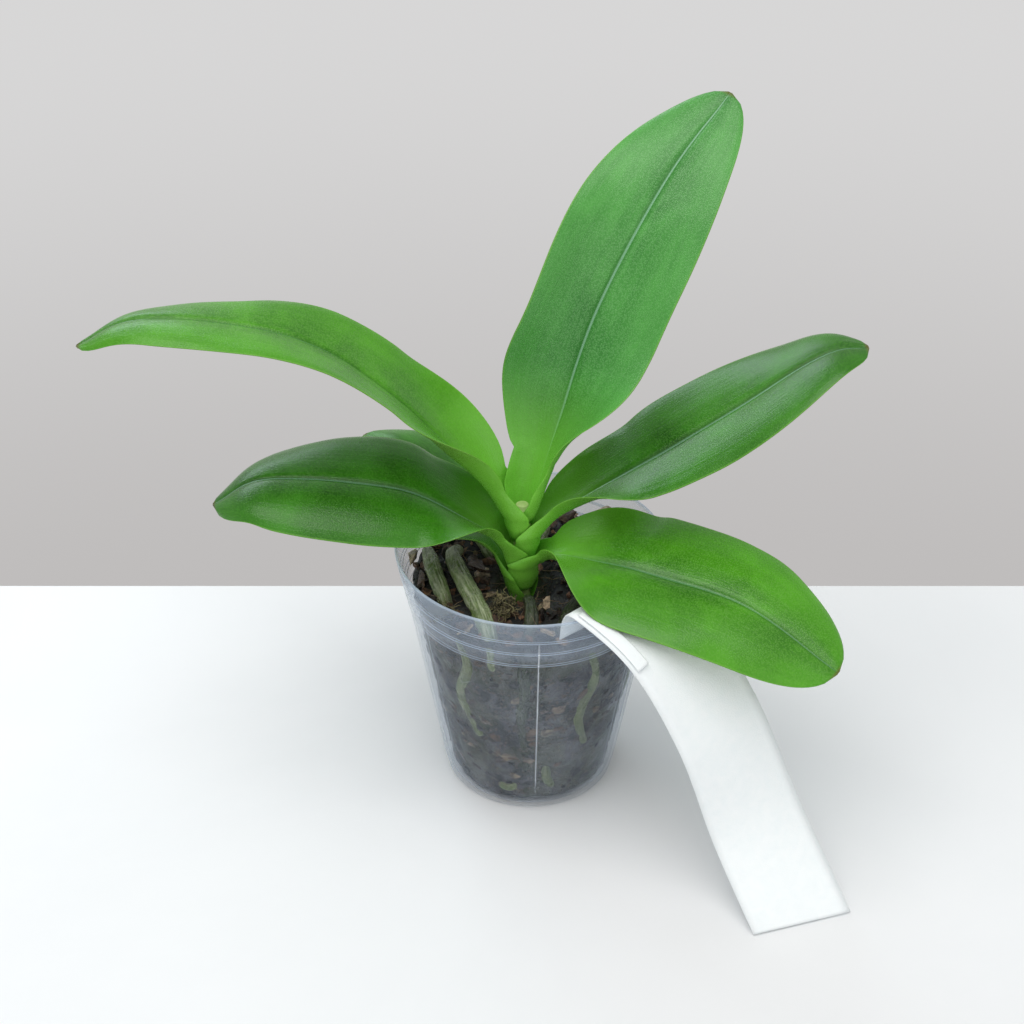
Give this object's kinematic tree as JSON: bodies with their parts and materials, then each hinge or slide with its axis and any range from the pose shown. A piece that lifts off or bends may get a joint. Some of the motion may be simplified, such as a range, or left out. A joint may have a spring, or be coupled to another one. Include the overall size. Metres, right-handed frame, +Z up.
{
  "type": "potted orchid",
  "caption": "Young moth orchid out of flower: fans of thick strap leaves on a short stem, fleshy roots on bark mix in a clear nursery pot, blank paper label over the rim.",
  "frame": {"origin": "middle of the pot's base, on the surface it stands on", "axes": "+Z up; +X to the right and -Y to the front of the plant, the side the label hangs on"},
  "size_m": [0.2411, 0.1395, 0.2271],
  "materials": {
    "leaf": "waxy satin, mid green, fine pale speckle",
    "dark_leaf": "waxy satin, dark green, fine pale speckle",
    "stem": "smooth, yellow-green",
    "bark": "rough, damp bark",
    "mix": "rough, damp mix of bark and fibre",
    "root": "silvery green, papery skin",
    "dark_root": "wet, black-green",
    "dry_root": "dry, tan",
    "moss": "fibrous",
    "clear_plastic": "thin clear plastic, slightly hazy",
    "label": "plain white coated paper"
  },
  "bodies": {
    "root": {"pot": "clear_plastic", "bark_mix": "mix", "stem": "stem", "back_left_leaf": "dark_leaf", "left_leaf": "dark_leaf", "right_leaf": "dark_leaf", "front_right_leaf": "leaf", "arching_leaf": "leaf", "upright_leaf": "leaf", "silver_root": "root", "left_root": "root", "front_root": "dark_root", "front_right_root": "dark_root", "dry_root": "dry_root", "back_left_root": "root", "back_root": "root", "right_root": "root", "wall_root_front_left": "root", "wall_root_front_right": "root", "wall_root_foot_left": "root", "wall_root_foot_right": "root", "wall_root_right": "root", "wall_root_back": "root", "wall_root_left": "root", "pale_bark_chip": "dry_root", "papery_scrap": "dry_root", "dry_bract": "bark", "moss_tuft_front": "moss", "moss_tuft_left": "moss", "moss_tuft_back": "moss", "plant_label": "label", "label_tab": "label", "bark_chip_1": "bark", "bark_chip_2": "bark", "bark_chip_3": "bark", "bark_chip_4": "bark", "bark_chip_5": "bark", "bark_chip_6": "bark", "bark_chip_7": "bark", "bark_chip_8": "bark", "bark_chip_9": "bark", "bark_chip_10": "bark"}
  },
  "joints": []
}
